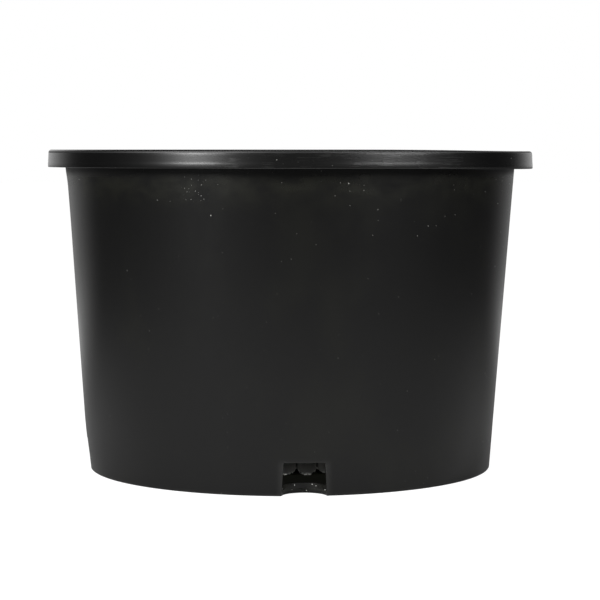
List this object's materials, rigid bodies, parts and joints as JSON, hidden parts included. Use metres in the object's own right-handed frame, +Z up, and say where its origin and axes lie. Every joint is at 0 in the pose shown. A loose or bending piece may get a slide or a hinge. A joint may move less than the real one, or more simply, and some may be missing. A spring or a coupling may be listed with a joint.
{
  "type": "nursery pot",
  "caption": "Squat round black plastic nursery pot with a plain tapered wall, a banded rim, drain notches in the foot and a raised fluted floor.",
  "frame": {"origin": "centre of the ring that the pot stands on, in the plane of the bench", "axes": "+Z up along the pot's axis; -Y through the middle of one drain notch"},
  "size_m": [0.33, 0.3298, 0.2168],
  "materials": {
    "black_polypropylene": "satin black polypropylene, glossier on the rim band"
  },
  "bodies": {
    "root": {"nursery_pot": "black_polypropylene"}
  },
  "joints": []
}
